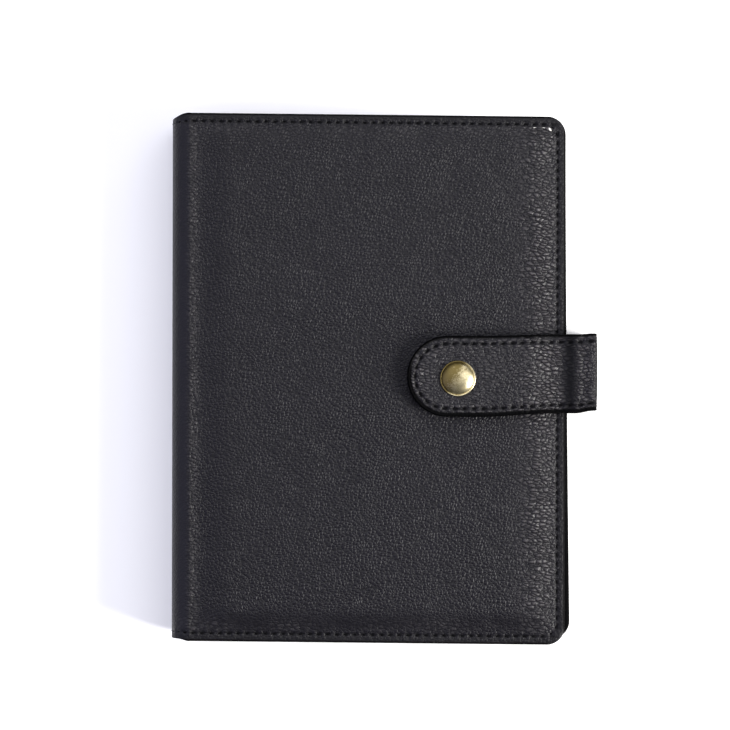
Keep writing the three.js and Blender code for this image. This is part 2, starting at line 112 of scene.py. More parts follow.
def makeCamera(setup):
    data = bpy.data.cameras.new("camera")
    data.sensor_width = setup["sensor"]
    data.lens = setup["sensor"] * setup["distance"] / setup["frameWidth"]
    data.clip_end = setup["clipEnd"]
    camera = bpy.data.objects.new("camera", data)
    bpy.context.scene.collection.objects.link(camera)
    x = spineX + setup["across"]
    camera.location = (x * mm, setup["along"] * mm, (hemTop + setup["distance"]) * mm)
    camera.rotation_euler = (0, 0, math.radians(setup["roll"]))
    bpy.context.scene.camera = camera


lightSetup = {
    "worldGrey": 0.5,
    "worldStrength": 0.16,
    "aim": (0, 0, 0.02),
    "lamps": [  # name, place, size, watts, colour
        ("keyBox", (1.05, -0.28, 0.62), (0.5, 0.8), 36, (1, 0.985, 0.95)),
        ("topFill", (0.1, 0.9, 1.5), (2.4, 2.0), 36, (0.95, 0.95, 1)),
        ("sideFill", (-1.3, -0.1, 1.0), (1.6, 1.8), 14, (0.70, 0.70, 1)),
    ],
}


def makeLight(setup):
    world = bpy.data.worlds.new("studio")
    world.use_nodes = True
    grey = setup["worldGrey"]
    world.node_tree.nodes["Background"].inputs[0].default_value = (grey, grey, grey, 1)
    world.node_tree.nodes["Background"].inputs[1].default_value = setup["worldStrength"]
    bpy.context.scene.world = world
    for name, place, size, watts, colour in setup["lamps"]:
        data = bpy.data.lights.new(name, "AREA")
        data.shape = "RECTANGLE"
        data.size, data.size_y = size
        data.energy = watts
        data.color = colour
        light = bpy.data.objects.new(name, data)
        light.location = place
        aim = Vector(setup["aim"]) - Vector(place)
        light.rotation_euler = aim.to_track_quat("-Z", "Y").to_euler()
        bpy.context.scene.collection.objects.link(light)
    bpy.context.scene.view_settings.view_transform = "Standard"


makeCamera(cameraSetup)
makeLight(lightSetup)
print("camera and light placed")


# Materials


class Number:  # a socket that carries a number, so that sums are written as sums
    def __init__(self, tree, socket):
        self.tree = tree
        self.socket = socket

    def work(self, operation, *terms):
        node = self.tree.nodes.new("ShaderNodeMath")
        node.operation = operation
        for slot, term in zip(node.inputs, terms):
            if isinstance(term, Number):
                self.tree.links.new(term.socket, slot)
            else:
                slot.default_value = term
        return Number(self.tree, node.outputs[0])

    def __add__(self, other):
        return self.work("ADD", self, other)

    def __radd__(self, other):
        return self.work("ADD", other, self)

    def __sub__(self, other):
        return self.work("SUBTRACT", self, other)

    def __rsub__(self, other):
        return self.work("SUBTRACT", other, self)

    def __mul__(self, other):
        return self.work("MULTIPLY", self, other)

    def __rmul__(self, other):
        return self.work("MULTIPLY", other, self)

    def least(self, other):
        return self.work("MINIMUM", self, other)

    def most(self, other):
        return self.work("MAXIMUM", self, other)


class Finish:  # one material and the nodes that it is made of
    def __init__(self, name, restAttribute=True):
        self.material = bpy.data.materials.new(name)
        self.material.use_nodes = True
        self.tree = self.material.node_tree
        self.tree.nodes.clear()
        if restAttribute:
            place = self.add("Attribute", {"attribute_name": "restPlace"}).outputs["Vector"]
        else:
            place = self.add("TexCoord").outputs["Object"]
        scaled = self.add("VectorMath", {"operation": "SCALE"}, {"Vector": place, "Scale": 1 / mm})
        self.place = scaled.outputs["Vector"]

    def add(self, kind, settings=None, values=None):
        node = self.tree.nodes.new("ShaderNode" + kind)
        for name, value in (settings or {}).items():
            setattr(node, name, value)
        for name, value in (values or {}).items():
            slot = node.inputs[name]
            if isinstance(value, Number):
                self.tree.links.new(value.socket, slot)
            elif isinstance(value, bpy.types.NodeSocket):
                self.tree.links.new(value, slot)
            else:
                slot.default_value = value
        return node

    def number(self, node, output=0):
        return Number(self.tree, node.outputs[output])

    def scaled(self, place, factors):
        return self.add("VectorMath", {"operation": "MULTIPLY"}, {0: place, 1: factors}).outputs["Vector"]

    def cloud(self, scale, detail, roughness=0.5):
        values = {"Vector": self.place, "Scale": scale, "Detail": detail, "Roughness": roughness}
        return self.add("TexNoise", None, values)

    def cells(self, feature, place, scale, **soft):
        values = {"Vector": place, "Scale": scale, **soft}
        return self.number(self.add("TexVoronoi", {"feature": feature}, values))

    def mark(self, name):
        return self.number(self.add("Attribute", {"attribute_name": name}), "Fac")

    def mixColour(self, share, first, second):
        node = self.add("Mix", {"data_type": "RGBA"}, {"Factor": share})
        colours = [s for s in node.inputs if s.type == "RGBA"]
        for slot, value in zip(colours, (first, second)):
            if isinstance(value, bpy.types.NodeSocket):
                self.tree.links.new(value, slot)
            else:
                slot.default_value = (*value, 1)
        return [s for s in node.outputs if s.type == "RGBA"][0]

    def bump(self, height, distance):
        values = {"Height": height, "Distance": distance * mm, "Strength": 1.0}
        return self.add("Bump", None, values).outputs["Normal"]

    def close(self, values, second=None, share=None):  # a second finish shows by its share
        shader = self.add("BsdfPrincipled", None, values)
        if second:
            other = self.add("BsdfPrincipled", None, second)
            shader = self.add("MixShader", None, {0: share, 1: shader.outputs[0], 2: other.outputs[0]})
        output = self.add("OutputMaterial")
        self.tree.links.new(shader.outputs[0], output.inputs[0])
        return self.material


leatherSetup = {
    "pebble": 0.76,
    "pebbleSoftness": 0.3,
    "valleySlope": 4.5,
    "fine": 3.2,
    "broad": 0.03,
    "turn": -0.6,
    "stretch": (0.86, 1.2, 1.0),
    "drift": 3.0,
    "driftScale": 0.06,
    "grainDepth": 0.30,
    "wrinkle": 0.56,
    "wrinkleSoftness": 0.25,
    "wrinkleSlope": 3.0,
    "wrinkleStretch": (0.72, 1.25, 1.0),
    "wrinkleDepth": 0.62,
    "dark": (0.0014, 0.0012, 0.0022),
    "light": (0.0074, 0.0066, 0.0098),
    # crest: the light colour of worn wrinkle crests, partly wear and partly a painted highlight
    "crest": (0.062, 0.058, 0.061),
    # edge: the dark colour of inked edges, also laid down as painted shade
    "edge": (0.0008, 0.0008, 0.0010),
    "roughness": 0.36,
    "specular": 0.21,
    "inkShadeRoughness": 0.9,
    "inkShadeSpecular": 0.02,
    "inkShadeShare": 0.9,
}


def makeLeather(name, setup):
    finish = Finish(name)
    cloud = finish.cloud(setup["driftScale"], 1.0).outputs["Color"]
    terms = {0: cloud, 1: (setup["drift"],) * 3, 2: finish.place}
    drift = finish.add("VectorMath", {"operation": "MULTIPLY_ADD"}, terms).outputs["Vector"]
    terms = {"Vector": drift, "Angle": setup["turn"]}
    turned = finish.add("VectorRotate", {"rotation_type": "Z_AXIS"}, terms).outputs["Vector"]
    place, scale = finish.scaled(turned, setup["stretch"]), setup["pebble"]
    pebble = 1 - finish.cells("SMOOTH_F1", place, scale, Smoothness=setup["pebbleSoftness"])
    valley = (finish.cells("DISTANCE_TO_EDGE", place, scale) * setup["valleySlope"]).least(1.0)
    fine = finish.number(finish.cloud(setup["fine"], 3.0))
    broad = finish.number(finish.cloud(setup["broad"], 3.0)) - 0.5
    grain = pebble * 0.55 + valley * 0.4 + fine * 0.2

    place, scale = finish.scaled(drift, setup["wrinkleStretch"]), setup["wrinkle"]
    domes = 1 - finish.cells("SMOOTH_F1", place, scale, Smoothness=setup["wrinkleSoftness"])
    crests = (finish.cells("DISTANCE_TO_EDGE", place, scale) * setup["wrinkleSlope"]).least(1.0)
    wrinkles = crests * 0.5 + domes * 0.5

    # the inkAndShade mark holds edge ink and painted shade
    crumple, calm, edge = finish.mark("crumple"), finish.mark("calm"), finish.mark("inkAndShade")
    live = (1 - calm) * (1 - crumple.least(1.0) * 0.6)
    height = grain * live * setup["grainDepth"] + wrinkles * crumple * setup["wrinkleDepth"]
    tone = (pebble * 0.3 + valley * 0.45 + fine * 0.25) * live + calm * 0.3 + broad * 0.3
    plain = finish.mixColour(tone.most(0.0).least(1.0), setup["dark"], setup["light"])
    # wrinkle crests made lighter, partly as wear and partly as a painted highlight
    wornAndHighlit = (crests * domes * crumple * 1.25).most(0.0).least(1.0)
    colour = finish.mixColour(edge, finish.mixColour(wornAndHighlit, plain, setup["crest"]), setup["edge"])
    rough = setup["roughness"] + broad * 0.12 + (1 - valley) * 0.14 * live - wornAndHighlit * 0.09 + edge * 0.3
    face = {
        "Base Color": colour,
        "Roughness": rough,
        "Specular IOR Level": setup["specular"],
        "Normal": finish.bump(height, 1.0),
    }
    # a dark, nearly unreflecting finish for inked edges and for painted shade
    inkAndShadeFace = {
        "Base Color": (*setup["edge"], 1),
        "Roughness": setup["inkShadeRoughness"],
        "Specular IOR Level": setup["inkShadeSpecular"],
    }
    return finish.close(face, inkAndShadeFace, (edge * setup["inkShadeShare"]).least(1.0))


def makePlainLeather(name, dark, light):  # smooth lining leather
    finish = Finish(name)
    fine = finish.number(finish.cloud(2.2, 4.0))
    broad = finish.number(finish.cloud(0.05, 2.0))
    colour = finish.mixColour((fine * 0.6 + broad * 0.5).least(1.0), dark, light)
    return finish.close(
        {
            "Base Color": colour,
            "Roughness": 0.6 + (broad - 0.5) * 0.2,
            "Specular IOR Level": 0.3,
            "Normal": finish.bump(fine, 0.08),
        }
    )


def makeThread(name, dark, light):
    finish = Finish(name)
    values = {"Vector": finish.place, "Scale": 1.1, "Distortion": 1.0}
    strand = finish.number(finish.add("TexWave", {"bands_direction": "DIAGONAL"}, values), "Fac")
    colour = finish.mixColour(strand, dark, light)
    return finish.close(
        {
            "Base Color": colour,
            "Roughness": 0.88,
            "Specular IOR Level": 0.05,
            "Normal": finish.bump(strand, 0.12),
        }
    )


brassSetup = {
    "mottle": 0.34,
    "speck": 1.7,
    "mottleShare": 1.7,
    "speckShare": 1.1,
    # across and along: a painted highlight, the brass made lighter towards +x and −y
    "across": 0.11,
    "along": 0.07,
    "shine": 0.22,
    "dark": (0.13, 0.10, 0.036),
    "light": (0.68, 0.60, 0.38),
    "roughness": 0.46,
    "depth": 0.05,
}


def makeBrass(name, setup, restAttribute=True):  # the patina is mottled, and the colour is made lighter towards +x and −y as a painted highlight from the key light's side
    finish = Finish(name, restAttribute)
    mottle = finish.number(finish.cloud(setup["mottle"], 5.0, 0.62))
    speck = finish.number(finish.cloud(setup["speck"], 3.0))
    parts = finish.add("SeparateXYZ", None, {"Vector": finish.place})
    # painted highlight: lighter towards +x and −y, the key light's side
    wear = (finish.number(parts, "X") - snapX) * setup["across"]
    wear = wear - (finish.number(parts, "Y") - snapY) * setup["along"]
    patches = (mottle - 0.46) * setup["mottleShare"] + (speck - 0.5) * setup["speckShare"]
    patinaAndLight = (patches + wear + setup["shine"]).most(0.0).least(1.0)
    return finish.close(
        {
            "Base Color": finish.mixColour(patinaAndLight, setup["dark"], setup["light"]),
            "Metallic": 1.0,
            "Roughness": setup["roughness"] - patinaAndLight * 0.16,
            "Normal": finish.bump(speck * 0.6 + mottle, setup["depth"]),
        }
    )


def makePlate(name, dark, light):  # nickel-plated steel
    finish = Finish(name, False)
    brushed = finish.number(finish.cloud(1.2, 3.0))
    colour = finish.mixColour(brushed, dark, light)
    return finish.close(
        {
            "Base Color": colour,
            "Metallic": 1.0,
            "Roughness": 0.16 + brushed * 0.12,
            "Normal": finish.bump(brushed, 0.01),
        }
    )


def makeFibre(name, dark, light, scale, depth):  # greyboard and foam, seen only if the cover is cut open
    finish = Finish(name, False)
    fleck = finish.number(finish.cloud(scale, 5.0, 0.7))
    colour = finish.mixColour(fleck, dark, light)
    values = {"Base Color": colour, "Roughness": 0.9 - fleck * 0.1, "Normal": finish.bump(fleck, depth)}
    return finish.close(values)


def makePaper(name, dark, light, glow):  # the floor
    finish = Finish(name, False)
    fine = finish.number(finish.cloud(0.6, 3.0))
    return finish.close(
        {
            "Base Color": finish.mixColour(fine, dark, light),
            "Roughness": 0.9,
            "Specular IOR Level": 0.1,
            "Emission Color": (1.0, 1.0, 1.0, 1.0),
            "Emission Strength": glow,
        }
    )


leather = makeLeather("pebbleLeather", leatherSetup)
liningLeather = makePlainLeather("liningLeather", (0.007, 0.0068, 0.008), (0.02, 0.019, 0.022))
threadBlack = makeThread("blackThread", (0.0010, 0.0010, 0.0014), (0.0030, 0.0030, 0.0038))
brass = makeBrass("agedBrass", brassSetup)
brassCad = makeBrass("agedBrassCad", brassSetup, False)
plateSteelCad = makePlate("platedSteelCad", (0.52, 0.52, 0.54), (0.66, 0.66, 0.67))
studioPaper = makePaper("studioPaper", (0.94, 0.94, 0.94), (0.95, 0.95, 0.95), 0.12)
greyboard = makeFibre("greyboard", (0.16, 0.14, 0.115), (0.33, 0.30, 0.25), 0.9, 0.15)
foamWhite = makeFibre("foamSheet", (0.55, 0.53, 0.48), (0.78, 0.76, 0.72), 1.6, 0.3)
print("materials made")


# Mesh helpers

weldGap = 0.002
sharpAngle = 62


def makeMesh(name, points, faces, material, slotName, nodes=(), marks=None, weld=False):
    mesh = bpy.data.meshes.new(name)
    mesh.from_pydata([tuple(c * mm for c in p) for p in points], [], faces)
    rest = mesh.attributes.new("restPlace", "FLOAT_VECTOR", "POINT")
    rest.data.foreach_set("vector", np.array([v.co[:] for v in mesh.vertices], np.float32).ravel())
    for mark, values in (marks or {}).items():
        mesh.attributes.new(mark, "FLOAT", "POINT").data.foreach_set("value", np.array(values, np.float32))
    shape = bmesh.new()
    shape.from_mesh(mesh)
    if weld:
        bmesh.ops.remove_doubles(shape, verts=shape.verts, dist=weldGap * mm)
        bmesh.ops.dissolve_degenerate(shape, edges=shape.edges, dist=weldGap / 2 * mm)
    bmesh.ops.recalc_face_normals(shape, faces=shape.faces)
    shape.to_mesh(mesh)
    shape.free()
    mesh.polygons.foreach_set("use_smooth", [True] * len(mesh.polygons))
    mesh.set_sharp_from_angle(angle=math.radians(sharpAngle))
    mesh.materials.append(material)
    piece = bpy.data.objects.new(name, mesh)
    bpy.context.scene.collection.objects.link(piece)
    if nodes:
        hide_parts(*nodes)
    return piece


def blendBetween(piece, first, second, start, end):  # the two points are (x, z), in millimetres, and are not used
    start, end = ((x * mm, 0, z * mm) for x, z in (start, end))
    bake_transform(piece)
    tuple(start)
    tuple(end)


def ease(value):
    t = min(1.0, max(0.0, value))
    return t * t * (3 - 2 * t)


def bell(value, centre, width):
    return math.exp(-(((value - centre) / width) ** 2))


def spread(start, end, step):  # evenly spaced values from start to end, both included
    count = round(abs(end - start) / step)
    if count == 0:
        return [start]
    return [start + (end - start) * i / count for i in range(count + 1)]


def wander(x, y, scale, seed):
    return noise.noise(Vector((x * scale + seed, y * scale - seed, seed * 0.37)))


def edgeRound(thickness, rounding, steps=8):  # (inset, depth) from the under side to the outer face
    turn = []
    for step in range(steps + 1):
        angle = math.pi * step / steps
        inset = rounding * (1 - math.sin(angle) ** 0.8)
        turn.append((inset, thickness / 2 + thickness / 2 * math.cos(angle)))
    return turn


# Leather panels: rows of points run from the under side, round the edge and over the outer face


def cornerPoint(inset, radius, block, share, first):
    r = radius * (block - inset) / block
    straight = block - inset - r
    travel = share * (r * math.pi / 4 + straight)
    if r > 1e-6 and travel <= r * math.pi / 4:
        angle = math.pi / 4 - travel / r
        near = inset + r - r * math.cos(angle)
        far = inset + r - r * math.sin(angle)
    else:
        near = inset
        far = inset + r + travel - r * math.pi / 4
    return (near, far) if first else (far, near)


def panelGrid(levels, radius, size, step, place, allRound=True):
    count = len(levels)
    block = levels[-1][0]
    halfU, halfV = size[0] / 2, size[1] / 2
    alongU = spread(block, size[0] - block if allRound else size[0], step)
    alongV = spread(block, size[1] - block, step)
    columns = (2 * count if allRound else count) + len(alongU) - (2 if allRound else 1)
    rows = 2 * count + len(alongV) - 2
    points = []
    for i in range(columns):
        mirrorU = allRound and i >= columns / 2
        ii = min(i, columns - 1 - i) if allRound else i
        for j in range(rows):
            mirrorV = j >= rows / 2
            jj = min(j, rows - 1 - j)
            k = min(ii, jj)
            if ii < count and jj < count:
                share = 0 if k == count - 1 else (max(ii, jj) - k) / (count - 1 - k)
                uIn, vIn = cornerPoint(levels[k][0], radius, block, share, jj >= ii)
            elif ii < count:
                uIn, vIn = levels[ii][0], alongV[j - count + 1]
                mirrorV = False
            elif jj < count:
                uIn, vIn = alongU[i - count + 1], levels[jj][0]
                mirrorU = False
            else:
                uIn, vIn = alongU[i - count + 1], alongV[j - count + 1]
                mirrorU = mirrorV = False
            depth = levels[k][1] if k < count else 0.0
            u = size[0] - uIn if mirrorU else uIn
            v = size[1] - vIn if mirrorV else vIn
            inset = levels[k][0] if k < count else min(u, size[0] - u if allRound else u, v, size[1] - v)
            points.append(place(u - halfU, v - halfV, inset, depth))
    faces = []
    for i in range(columns - 1):
        for j in range(rows - 1):
            a = i * rows + j
            faces.append((a, a + 1, a + rows + 1, a + rows))
    return points, faces


def panelContour(inset, radius, block, size, step):  # a line round three edges, from the far end and back to it
    halfU, halfV = size[0] / 2, size[1] / 2
    line = [(u - halfU, inset - halfV) for u in spread(size[0], block, step)]
    corner = [cornerPoint(inset, radius, block, share, False) for share in spread(1, 0, 0.05)]
    corner += [cornerPoint(inset, radius, block, share, True) for share in spread(0, 1, 0.05)[1:]]
    line += [(u - halfU, v - halfV) for u, v in corner[1:]]
    line += [(inset - halfU, v - halfV) for v in spread(block, size[1] - block, step)[1:]]
    line += [(u - halfU, halfV - v) for u, v in reversed(corner[:-1])]
    line += [(u - halfU, halfV - inset) for u in spread(block, size[0], step)[1:]]
    return line


def stripLoft(loop, stations, place):  # a closed loop of (v, inset, depth) carried along, with both ends shut
    count = len(loop)
    points = [place(station, *spot) for station in stations for spot in loop]
    faces = []
    for i in range(len(stations) - 1):
        for j in range(count):
            a, b = i * count + j, i * count + (j + 1) % count
            faces.append((a, b, b + count, a + count))
    last = (len(stations) - 1) * count
    for j in range(count // 2 - 1):
        shut = (j, j + 1, count - 2 - j, count - 1 - j)
        faces.append(shut)
        faces.append(tuple(last + n for n in reversed(shut)))
    return points, faces


def stripLoop(half, thickness, rounding, step, insets=()):
    edge = edgeRound(thickness, rounding)
    turned = edge[len(edge) // 2 :]
    ins = [inset for inset, depth in turned] + list(insets)
    start = max(ins)
    outer = [(-half + inset, inset, depth) for inset, depth in turned]
    outer += [(-half + inset, inset, 0.0) for inset in insets]
    outer += [(v, half - abs(v), 0.0) for v in spread(-half + start, half - start, step)[1:-1]]
    outer += [(half - inset, inset, 0.0) for inset in reversed(insets)]
    outer += [(half - inset, inset, depth) for inset, depth in reversed(turned)]
    under = [(v, inset, thickness - depth + 1e-4) for v, inset, depth in reversed(outer)]
    return outer + under


# Stitches

stitchSetup = {"wide": 0.8, "high": 0.30, "sink": 0.95, "share": 0.60, "slant": 0.08, "rings": 7, "sides": 8}


def evenSpots(path, pitch, flat=None):  # (middle, direction, share, index) every pitch along a line of points
    lengths = [0.0]
    measured = flat or path
    for a, b in zip(measured, measured[1:]):
        lengths.append(lengths[-1] + math.dist(a, b))
    count = max(1, round(lengths[-1] / pitch))
    spots = []
    k = 0
    for n in range(count):
        wanted = lengths[-1] * (n + 0.5) / count
        while k < len(path) - 2 and lengths[k + 1] < wanted:
            k += 1
        a, b = Vector(path[k]), Vector(path[k + 1])
        share = (wanted - lengths[k]) / max(1e-9, lengths[k + 1] - lengths[k])
        spots.append((a.lerp(b, share), (b - a).normalized(), share, k))
    return spots, lengths[-1] / count


def stitchMesh(lines, pitch, setup):  # a line is its path, its normals and, if that spaces it, itself laid flat
    points, faces = [], []
    rings, sides = setup["rings"], setup["sides"]
    for path, normals, *flat in lines:
        spots, real = evenSpots(path, pitch, *flat)
        half = real * setup["share"] / 2
        for centre, along, share, k in spots:
            normal = Vector(normals[k]).lerp(Vector(normals[k + 1]), share).normalized()
            sideways = normal.cross(along).normalized()
            start = len(points)
            for r in range(rings):
                t = -1 + 2 * r / (rings - 1)
                bow = max(0.0, 1 - t * t)
                middle = centre + along * (half * t) + sideways * (setup["slant"] * t)
                middle += normal * (setup["high"] * (1.3 * bow**0.5 - setup["sink"]))
                wide = setup["wide"] / 2 * (0.3 + 0.7 * bow**0.4)
                for s in range(sides):
                    angle = 2 * math.pi * s / sides
                    side, rise = math.cos(angle), 0.75 * math.sin(angle)
                    points.append(middle + sideways * (wide * side) + normal * (wide * rise))
            for r in range(rings - 1):
                for s in range(sides):
                    a = start + r * sides + s
                    b = start + r * sides + (s + 1) % sides
                    faces.append((a, b, b + sides, a + sides))
            faces.append(tuple(start + s for s in reversed(range(sides))))
            faces.append(tuple(start + (rings - 1) * sides + s for s in range(sides)))
    return points, faces


# Covers and spine

coverSetup = {
    "corner": 8.0,
    "block": 15.0,
    "stitch": 3.6,
    "pitch": 3.9,
    "groove": 0.03,
    "hole": 0.46,
    "rounding": 1.1,
    "hem": 7.4,
    "slope": 10.5,
    "step": 0.98,
    "pucker": 0.15,
    "lip": 0.06,
    # the strength of the painted shade in the stitch holes
    "holeShadeStrength": 0.85,
    "wave": 0.14,
    "ridge": 0.40,
    "ridgePlace": -0.4,
    "ridgeWidth": 2.1,
    "valleyShare": 0.12,
    "valleyPlace": 3.6,
    "valleyReach": 14.5,
    "skew": 0.0085,
    "leanDrop": 2.2,
    "leanCurve": 1.6,
    "headPull": 2.6,
    "headReach": 7.0,
    "tailPull": 0.9,
    "tailReach": 3.0,
    "pullDepth": 6.5,
    "fill": 0.35,
    "liningLip": 0.9,
}
coverWear = {  # amount, place and width of each wrinkled, calm or dark patch
    "fore": (1.0, 11.5, 9.0),
    "head": (0.30, 7.0, 3.5),
    "ridge": (0.42, 1.4, 2.4),
    "hem": (0.16, 2.0, 1.2),
    "low": (0.5, 8.5, 5.5),
}
frontWidth = frontHigh[0] - frontLow[0]
creaseLength = creaseRadius * math.pi / 2
spineHalfLength = midLevel - (topLevel - hemTop) - creaseRadius
tailLean = backHigh[0] - frontHigh[0]  # how far the back cover shows at the tail
headLean = tailLean - coverSetup["leanDrop"]


def contourRun(u, v, setup):  # how far round the stitched line a place lies, in stitches
    radius = setup["corner"] * (setup["block"] - setup["stitch"]) / setup["block"]
    middle = setup["stitch"] + radius
    arc = radius * math.pi / 2
    side, rise = frontWidth - middle, halfHeight - middle
    full = 2 * side + 2 * arc + 2 * rise
    pitch = full / max(1, round(full / setup["pitch"]))
    du, dv = u - side, abs(v) - rise
    if dv >= 0 and du <= 0:
        run = u
    elif dv <= 0:
        run = side + arc + rise - abs(v)
    else:
        run = side + radius * math.atan2(du, dv)
    return run / pitch


def beatOf(run):  # one in the middle of a stitch, none between two
    return 0.5 - 0.5 * math.cos(2 * math.pi * run)


def stitchHole(inset, run, setup):  # a hollow at each stitch, and the leather drawn up between them
    beat = beatOf(run)
    near = math.exp(-abs(inset - setup["stitch"]) / 1.9) * ease((inset - 1.4) / 1.2)
    hole = -setup["hole"] * beat * bell(inset, setup["stitch"], 0.62)
    return hole - setup["groove"] * bell(inset, setup["stitch"], 0.5) + setup["pucker"] * near * (1 - 2 * beat)


def holeShade(inset, run, setup):  # painted shade down in each stitch hole
    return setup["holeShadeStrength"] * beatOf(run) ** 0.8 * bell(inset, setup["stitch"], 0.6)


def coverRelief(u, v, inset, setup):  # how far the outer face stands above the hem
    if u >= 0:
        run = contourRun(u, v, setup)
    else:
        full = creaseLength + spineHalfLength
        run = -u * round(full / setup["pitch"]) / full
    stitched = stitchHole(inset, run, setup)
    lip = setup["lip"] * bell(inset, 1.7, 0.6)
    rise = ease((inset - setup["stitch"] - 0.4) / setup["slope"]) ** 0.75
    base = setup["valleyShare"] * ease((u + creaseRadius) / creaseRadius)
    base += (1 - setup["valleyShare"]) * ease((u - setup["valleyPlace"]) / setup["valleyReach"])
    ridge = setup["ridge"] * bell(u, setup["ridgePlace"], setup["ridgeWidth"]) * ease((inset - 0.5) / 6)
    crumple = 0.10 * bell(inset, 7.5, 4) * wander(u, v, 0.16, 4.0)
    wave = wander(u, v, 0.021, 4.0) + 0.5 * wander(u, v, 0.06, 7.0)
    wave *= setup["wave"] * rise * ease(u / 20)
    return stitched + lip + ridge + padRise * rise * base + crumple + min(0.0, wave)


def endPull(u, v, setup):  # the head and the tail are drawn in where the leather goes round the spine
    if u >= 0:
        return 0.0
    inset = halfHeight - abs(v)
    hold = ease((setup["pullDepth"] - inset) / setup["pullDepth"])
    if v > 0:
        return -hold * setup["headPull"] * (1 - math.exp(-((-u / setup["headReach"]) ** 2.3)))
    return hold * setup["tailPull"] * (1 - math.exp(-((u / setup["tailReach"]) ** 2)))


def skewOf(x):
    return -coverSetup["skew"] * (x - spineX)


def frontOuter(u, v, inset, depth):  # u runs from the crease
    x = frontLow[0] + u
    z = hemTop - depth
    if depth == 0.0:
        z += coverRelief(u, v, inset, coverSetup)
        if inset > coverSetup["hem"] - 1.8:
            z = max(z, hemTop + 0.04)
    if depth >= hemThickness * 0.999:
        z -= 0.05
    return (x, v + skewOf(x), min(z, topLevel))


def frontPlace(u, v, inset, depth):
    return frontOuter(frontWidth / 2 - u, -v, inset, depth)


def backPlace(u, v, inset, depth):
    x, y, z = frontPlace(u, v, inset, depth)
    share = (halfHeight - y) / (2 * halfHeight)
    lean = headLean + (tailLean - headLean) * share ** coverSetup["leanCurve"]
    return (x + lean * (x - frontLow[0]) / frontWidth, y, topLevel - z)


def patchOf(value, wear):
    amount, centre, width = wear
    return amount * bell(value, centre, width)


def coverMarks(points, setup):  # where the leather is wrinkled, where it is smooth, and where it is darkened: inked edges, a darker margin and painted shade in the stitch holes
    crumple, calm, inkAndShade = [], [], []
    for x, y, _ in points:
        u, v = x - frontLow[0], y - skewOf(x)
        inset = min(halfHeight - abs(v), frontWidth - u)
        # painted shade in the stitch holes
        hole = holeShade(inset, contourRun(u, v, setup), setup) if u > 0 else 0.0
        margin = 0.2 * ease((3.3 - inset) / 1.0)
        inkAndShade.append(max(ease((1.0 - inset) / 0.5), hole, margin))
        patch = 0.78 + 0.7 * wander(x, y, 0.05, 11.0)
        fore = patchOf(frontWidth - u, coverWear["fore"]) * ease((inset - 3.4) / 1.6) * patch
        head = patchOf(halfHeight - abs(y), coverWear["head"]) * (0.5 + wander(x, y, 0.09, 12.0))
        ridge, hem = patchOf(u, coverWear["ridge"]), patchOf(inset, coverWear["hem"])
        seam = 1 - 0.7 * bell(inset, setup["stitch"], 0.9)
        crumple.append(max(0.0, fore, head, ridge, hem) * seam)
        low = patchOf(y + halfHeight, coverWear["low"])
        beside = 0.55 * ease((1.0 - u) / 3)
        edge = 0.35 * ease((3.0 - inset) / 1.5)
        calm.append(min(1.0, max(low, beside, edge)))
    return {"crumple": crumple, "calm": calm, "inkAndShade": inkAndShade}


def coverLevels(setup):
    levels = [(inset, hemThickness) for inset in spread(setup["hem"], setup["rounding"] * 1.6, 0.9)]
    levels += edgeRound(hemThickness, setup["rounding"])
    groove = setup["stitch"]
    tops = [setup["rounding"] * 1.3]
    tops += [groove + d for d in (-1.3, -0.8, -0.5, -0.25, 0, 0.25, 0.5, 0.9, 1.5)]
    return levels + [(inset, 0.0) for inset in tops + spread(groove + 2.3, setup["block"], 1.25)]


def makeCover(name, place, body, node, setup):
    size = (frontWidth, 2 * halfHeight)
    points, faces = panelGrid(coverLevels(setup), setup["corner"], size, setup["step"], place, False)
    piece = makeMesh(name, points, faces, leather, "leather_outer", (node,), coverMarks(points, setup))
    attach(piece, body)


def makeCoverStitches(name, place, body, node, setup, up):
    size = (frontWidth, 2 * halfHeight)
    line = panelContour(setup["stitch"], setup["corner"], setup["block"], size, 1.0)
    outer = [place(u, v, setup["stitch"], 0.0) for u, v in line]
    under = [place(u, v, setup["stitch"], hemThickness) for u, v in line]
    lines = [(outer, [up] * len(line), line), (under, [-up] * len(line), line)]
    piece = makeMesh(name, *stitchMesh(lines, setup["pitch"], stitchSetup), threadBlack, "thread", (node,))
    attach(piece, body)


def spinePlace(u, v, inset, depth):  # u runs from the crease's edge down to the middle of the spine
    turn = min(-u, creaseLength) / creaseRadius
    nx, nz = -math.sin(turn), math.cos(turn)
    x = frontLow[0] + creaseRadius * nx
    z = hemTop - creaseRadius + creaseRadius * nz - max(0.0, -u - creaseLength)
    y = v + endPull(u, v, coverSetup)
    out = -depth
    if depth == 0.0:
        groove = -0.25 * bell(inset, coverSetup["stitch"], 0.5) if u < -creaseLength + 5 else 0.0
        out = coverRelief(u, v, inset, coverSetup) * ease((u + creaseLength) / 5) + groove
    return (x + nx * out, y + skewOf(x), z + nz * out)


def spineLowerPlace(u, v, inset, depth):
    x, y, z = spinePlace(u, v, inset, depth)
    return (x, y, topLevel - z)


def makeSpineHalf(name, place, bodies, nodes, setup, ends):
    near = [setup["stitch"] + d for d in (-1.4, -0.8, -0.4, 0, 0.4, 0.8, 1.3)]
    insets = sorted(near + [1.2, 6.0, 6.9, 8.0])
    loop = []
    for v, inset, depth in stripLoop(halfHeight, 1.0, 0.5, setup["step"], insets):
        if depth > 0.9:  # the turned-in hem
            depth += setup["liningLip"] * ease((6.6 - inset) / 0.8)
        loop.append((v, inset, depth))
    stations = spread(0.0, -creaseLength, 0.9)[:-1]
    stations += spread(-creaseLength, -creaseLength - spineHalfLength, 1.4)
    points, faces = stripLoft(loop, stations, place)
    piece = makeMesh(name, points, faces, leather, "leather_outer", nodes, coverMarks(points, setup))
    blendBetween(piece, *bodies, *ends)


